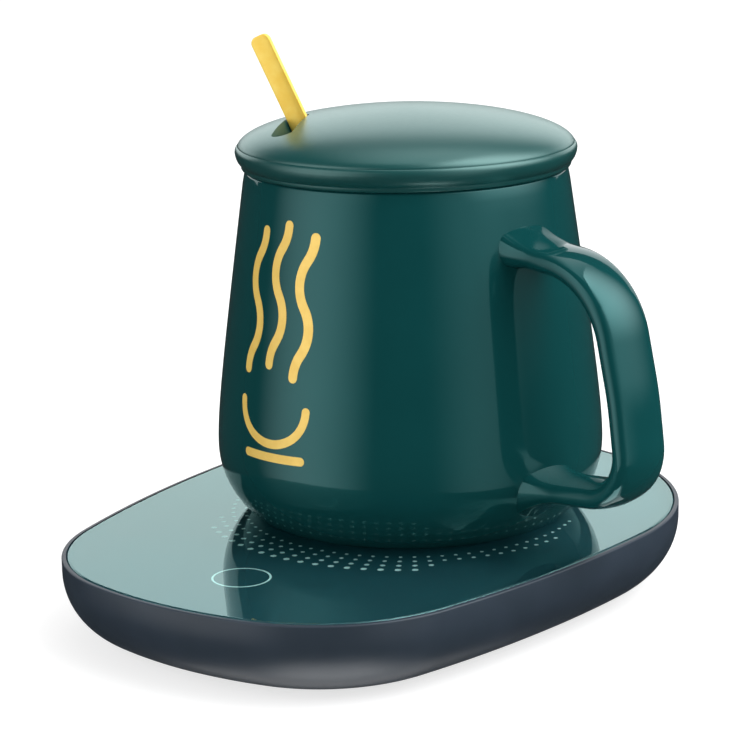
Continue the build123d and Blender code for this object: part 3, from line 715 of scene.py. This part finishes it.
def stroke(name, start, heading, width, arcs):
    """A band with round ends that follows arcs of (radius, sweep), wrapped on to the wall of the mug.

    It starts straight up, down or to one side, and a positive sweep turns to the left.
    """
    point = Vector(start)
    way = Vector(heading)
    bpy.ops.object.select_all(action="DESELECT")
    bpy.ops.mesh.primitive_plane_add(
        size=width * mm, location=(point.x * mm, print_front * mm, point.y * mm), rotation=(pi / 2, 0, 0)
    )
    piece = bpy.context.object
    piece.name = name
    bpy.ops.object.transform_apply(location=True, rotation=True, scale=True)
    bpy.ops.object.mode_set(mode="EDIT")
    bpy.ops.mesh.select_all(action="SELECT")
    # the plane closes to an edge across the start of the stroke
    shrink = cos(radians(end_angles[0]))
    bpy.ops.transform.resize(
        value=(shrink * abs(way.y), 1, shrink * abs(way.x)),
        center_override=(point.x * mm, print_front * mm, point.y * mm),
    )
    bpy.ops.mesh.remove_doubles(threshold=0.01 * mm)
    bpy.ops.mesh.select_all(action="SELECT")
    point = round_end(point, way, width, end_angles)
    for radius, sweep in arcs:
        side = Vector((-way.y, way.x)) * (radius if sweep > 0 else -radius)
        centre = point + side
        bpy.ops.mesh.spin(
            steps=round(radius * radians(abs(sweep))),
            angle=radians(sweep),
            center=(centre.x * mm, print_front * mm, centre.y * mm),
            axis=(0, 1, 0),
        )
        swing = Matrix.Rotation(radians(sweep), 2)
        point = centre - swing @ side
        way = swing @ way
    round_end(point, way, width, [-angle for angle in reversed(end_angles)])
    bpy.ops.object.mode_set(mode="OBJECT")
    wrap = piece.modifiers.new("wrap", "SHRINKWRAP")
    wrap.target = mug
    wrap.wrap_method = "PROJECT"
    wrap.use_project_y = True
    wrap.offset = print_thickness / 3 * mm
    bpy.ops.object.modifier_apply(modifier=wrap.name)
    thick = piece.modifiers.new("thick", "SOLIDIFY")
    thick.thickness = print_thickness * mm
    thick.offset = 0
    bpy.ops.object.modifier_apply(modifier=thick.name)
    piece.rotation_euler.z = radians(print_turn)
    settle(piece, print_gold, "mug")


def round_end(point, way, width, angles):
    """Extrudes the selected edge through the angles of a round end, and returns where it gets to."""
    for before, after in zip(angles, angles[1:]):
        step = way * (sin(radians(after)) - sin(radians(before))) * width / 2
        point = point + step
        bpy.ops.mesh.extrude_region_move(TRANSFORM_OT_translate={"value": (step.x * mm, 0, step.y * mm)})
        size = cos(radians(after)) / cos(radians(before))
        bpy.ops.transform.resize(
            value=(size, 1, size), center_override=(point.x * mm, print_front * mm, point.y * mm)
        )
    return point


ahead, down, across = (0, 1), (0, -1), (1, 0)
steam_width = 2.4
bowl_width = 2.0
steam = ((9, -35), (9, 70), (9, -70), (9, 35))
stroke("print_steam_left", (-9.1, 38.0), ahead, steam_width, steam)
stroke("print_steam_middle", (-1.6, 40.0), ahead, steam_width, steam)
stroke("print_steam_right", (5.9, 38.0), ahead, steam_width, steam)
stroke("print_bowl", (-10, 33.0), down, bowl_width, ((8, 60), (12, 60), (8, 60)))
stroke("print_saucer", (-8.5, 20.4), across, bowl_width, ((300, 3.2),))


# ---------------------------------------------------------------- handle
# A pulled strap of the same clay with rounded sides, luted to the wall at two soft swellings. It
# leaves the mug below the rim, drops in a long curve and comes back in at the belly.
strap_width = 14.2
strap_thickness = 6.0
strap_turn = -11.5  # in degrees about the mug, from +X
# half of its section: the arched outer face, the round side and the arched inner face
strap_arcs = ((21.1, 14.6, 6), (2.4, 150.8, 16), (0, 14.6, 6))
# ends and corners of its middle line as (distance from the axis, height), and the bend at each corner
strap_route = ((37.0, 66.45), (64.2, 63.7), (70.4, 38.0), (73.3, 16.3), (41.6, 12.6))
strap_corners = [Vector(corner) for corner in strap_route]
strap_bends = (19.0, 70.0, 11.0)
# each end's swelling: how far along the strap it fades out, and its size at the very end
swellings = ((strap_corners[0], 9.5, 2.3), (strap_corners[-1], 11.5, 3.6))
widening = 0.6  # share of a swelling that the strap takes on in width
bend_step = 4  # degrees


def swollen(point):
    """The strap's thickness and width at a point of its route."""
    size = 0
    for end, reach, most in swellings:
        if (point - end).length < reach:
            size = 2 * most * (1 - (point - end).length / reach) ** 2
    return strap_thickness + size, strap_width + size * widening


def resize_end(point, sizes, from_sizes):
    """Scales the selected end of the strap about its middle, from one pair of sizes to another."""
    through = sizes[0] / from_sizes[0]
    across = sizes[1] / from_sizes[1]
    bpy.ops.transform.resize(
        value=(through, across, through), center_override=(point.x * mm, 0, point.y * mm)
    )


def run_strap(start, end):
    """Extrudes the strap along a straight part of its route, in short steps that follow a swelling."""
    steps = max(1, round((end - start).length))
    points = [start.lerp(end, step / steps) for step in range(steps + 1)]
    for before, after in zip(points, points[1:]):
        step = ((after.x - before.x) * mm, 0, (after.y - before.y) * mm)
        bpy.ops.mesh.extrude_region_move(TRANSFORM_OT_translate={"value": step})
        resize_end(after, swollen(after), swollen(before))


point = strap_corners[0]
way = (strap_corners[1] - point).normalized()
strap = arc_outline("mug_strap", (0, -strap_thickness / 2, 0), strap_arcs)
bpy.ops.object.mode_set(mode="OBJECT")
# the section's own X axis turns across the strap, and its face on to the route
upright = Matrix.Rotation(way.angle(Vector((0, 1))), 4, "Y") @ Matrix.Rotation(pi / 2, 4, "Z")
strap.matrix_world = Matrix.Translation(Vector((point.x, 0, point.y)) * mm) @ upright
bpy.ops.object.transform_apply(location=True, rotation=True, scale=True)
bpy.ops.object.mode_set(mode="EDIT")
bpy.ops.mesh.select_all(action="SELECT")
resize_end(point, swollen(point), (strap_thickness, strap_width))
for corner, after, radius in zip(strap_corners[1:], strap_corners[2:], strap_bends):
    way = (corner - point).normalized()
    turn = way.angle((after - corner).normalized())
    bend_start = corner - way * radius * tan(turn / 2)
    run_strap(point, bend_start)
    centre = bend_start + Vector((way.y, -way.x)) * radius
    bpy.ops.mesh.spin(
        steps=max(5, round(degrees(turn) / bend_step)),
        angle=turn,
        center=(centre.x * mm, 0, centre.y * mm),
        axis=(0, -1, 0),
    )
    point = corner + (after - corner).normalized() * radius * tan(turn / 2)
run_strap(point, strap_corners[-1])
bpy.ops.object.mode_set(mode="OBJECT")
strap.rotation_euler.z = radians(strap_turn)
settle(strap, glaze, "mug", crease=40)
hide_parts("mug_handle")


# ---------------------------------------------------------------- lid
# The same stoneware with a softer glaze: a shallow dome over a rolled rim, a skirt that drops into
# the mug, and a slot for the spoon.
lid_glaze = finish(
    "lid_glaze",
    srgb(12, 64, 64),
    srgb(14, 69, 69),
    22,
    900,
    (0.28, 0.31),
    0.004,
    Specular_Tint=(0.45, 1, 0.95, 1),
    Coat_Weight=0.8,
    Coat_Roughness=0.34,
    Coat_Tint=(0.75, 1, 0.97, 1),
)
apex = mug_height + 13.4
dome_foot = (38.55, apex - 8.0)
crease = (dome_foot[0], dome_foot[1] - 0.15)
swell = (39.12, mug_height + 3.5)
bead = 37.8
bead_top = (bead + 0.05, mug_height + 1.1)
skirt_out, skirt_in = 33.0, 30.2
skirt_foot = mug_height - 5
skirt_edge = 0.4  # bevel round its foot
inner_top = apex - 4.2
lid_profile = [(0, apex)]
lid_profile += bezier((0, apex), (15, apex - 0.2), (36.2, apex - 3.1), dome_foot, 44)
# a fine crease, the rolled side of the rim, and a bead at its foot
lid_profile.append(crease)
lid_profile += bezier(crease, (39.0, crease[1] - 0.2), (39.3, swell[1] + 0.8), swell, 14)
lid_profile += bezier(swell, (38.95, swell[1] - 1.1), (38.5, swell[1] - 1.9), bead_top, 10)
lid_profile += [(bead, mug_height + 0.9), (bead, mug_height + 0.4), (bead - 0.2, mug_height + 0.1)]
# in under the rim, round the skirt and over the hollow inside
lid_profile += [(bead - 0.5, mug_height), (skirt_out, mug_height), (skirt_out, skirt_foot + skirt_edge)]
lid_profile += [(skirt_out - skirt_edge, skirt_foot), (skirt_in + skirt_edge, skirt_foot)]
lid_profile += [(skirt_in, skirt_foot + skirt_edge), (skirt_in, mug_height + 2)]
lid_profile += bezier(lid_profile[-1], (skirt_in - 1, apex - 5.4), (12, inner_top), (0, inner_top), 24)
lid = lathe("lid_body", lid_profile, steps=192)

spoon_point = Vector((-21.5, -12.5, 91.3))  # where the middle of the stem passes the lid
slot_turn = radians(113.3)  # from +X, along the slot
lean = radians(24.8)  # of the stem, square to the slot
slot_way = Vector((cos(slot_turn), sin(slot_turn), 0))
stem_way = Vector((sin(slot_turn), -cos(slot_turn), 0)) * -sin(lean) + Vector((0, 0, cos(lean)))
slot_size = (21.0, 5.2)
slot_margin = 3.4  # from the stem to the back end of the slot
slot_reach = 48  # of the tool that cuts it
slot_tool = rounded_slot("spoon_slot", *slot_size, slot_reach, (0, 0, 0))
slot_middle = spoon_point + slot_way * (slot_margin - slot_size[0] / 2)
# the tool lies along its own Y axis, which turns on to the stem
axes = Matrix((slot_way, stem_way, slot_way.cross(stem_way))).transposed()
slot_tool.data.transform(Matrix.Translation(slot_middle * mm) @ axes.to_4x4())
cut_away(lid, slot_tool)
settle(lid, lid_glaze, "lid", crease=40)
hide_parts("lid")


# ---------------------------------------------------------------- spoon
# Stamped steel with a satin gold plate: a flat stem on a shallow oval bowl. It stands in the mug
# and leans out through the slot of the lid.
gold = finish(
    "gold_plate", srgb(250, 206, 80), srgb(255, 220, 104), 250, 5000, (0.35, 0.45), 0.05, Metallic=0.3
)
bowl_half = (17.0, 11.0)
bowl_depth = 5.3
bowl_sheet = 1.1
bowl_run = 77.1  # from the crossing of stem and lid down to the middle of the bowl
bowl_curve = (bowl_half[0] ** 2 + bowl_depth**2) / (2 * bowl_depth)
bowl_reach = degrees(asin(bowl_half[0] / bowl_curve))
bowl_centre = (0, bowl_curve - bowl_depth)
# out along the inside, and back along the outside
bowl_profile = [(0, -bowl_depth)]
bowl_profile += round_edge(bowl_centre, bowl_curve, -90, bowl_reach - 90, 14)
bowl_profile += round_edge(bowl_centre, bowl_curve + bowl_sheet, bowl_reach - 90, -90, 14)
bowl = lathe("spoon_bowl", bowl_profile, steps=72)
bpy.ops.object.mode_set(mode="EDIT")
bpy.ops.mesh.select_all(action="SELECT")
bpy.ops.transform.resize(value=(1, bowl_half[1] / bowl_half[0], 1), center_override=(0, 0, 0))
bpy.ops.object.mode_set(mode="OBJECT")

stem_start = 15.0  # from the middle of the bowl
stem_end = 97.9
stem_size = (4.6, 1.6)
tip_round = 1.6
edge_round = 0.25
bpy.ops.object.select_all(action="DESELECT")
bpy.ops.mesh.primitive_cube_add(size=1, location=((stem_start + stem_end) / 2 * mm, 0, 0))
stem = bpy.context.object
stem.name = "spoon_stem"
stem.scale = ((stem_end - stem_start) * mm, stem_size[0] * mm, stem_size[1] * mm)
bpy.ops.object.transform_apply(location=True, rotation=True, scale=True)
# the tip is rounded in outline, and then every edge is softened
bpy.ops.object.mode_set(mode="EDIT")
bpy.ops.mesh.select_all(action="DESELECT")
mesh = bmesh.from_edit_mesh(stem.data)
for edge in mesh.edges:
    low, high = sorted(end.co.z for end in edge.verts)
    if high - low > mm and all(end.co.x > (stem_end - 1) * mm for end in edge.verts):
        edge.select_set(True)
bmesh.update_edit_mesh(stem.data)
bpy.ops.mesh.bevel(offset=tip_round * mm, segments=8, affect="EDGES")
bpy.ops.object.mode_set(mode="OBJECT")
soft = stem.modifiers.new("soft_edges", "BEVEL")
soft.width = edge_round * mm
soft.segments = 3
soft.limit_method = "ANGLE"
soft.angle_limit = radians(50)
bpy.ops.object.modifier_apply(modifier=soft.name)
spoon_axes = Matrix((stem_way, slot_way.cross(stem_way), slot_way)).transposed()
spoon_place = Matrix.Translation((spoon_point - stem_way * bowl_run) * mm) @ spoon_axes.to_4x4()
for piece in (bowl, stem):
    piece.data.transform(spoon_place)
    bpy.ops.object.select_all(action="DESELECT")
    piece.select_set(True)
    bpy.context.view_layer.objects.active = piece
    settle(piece, gold, "spoon", crease=40)
    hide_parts("spoon")
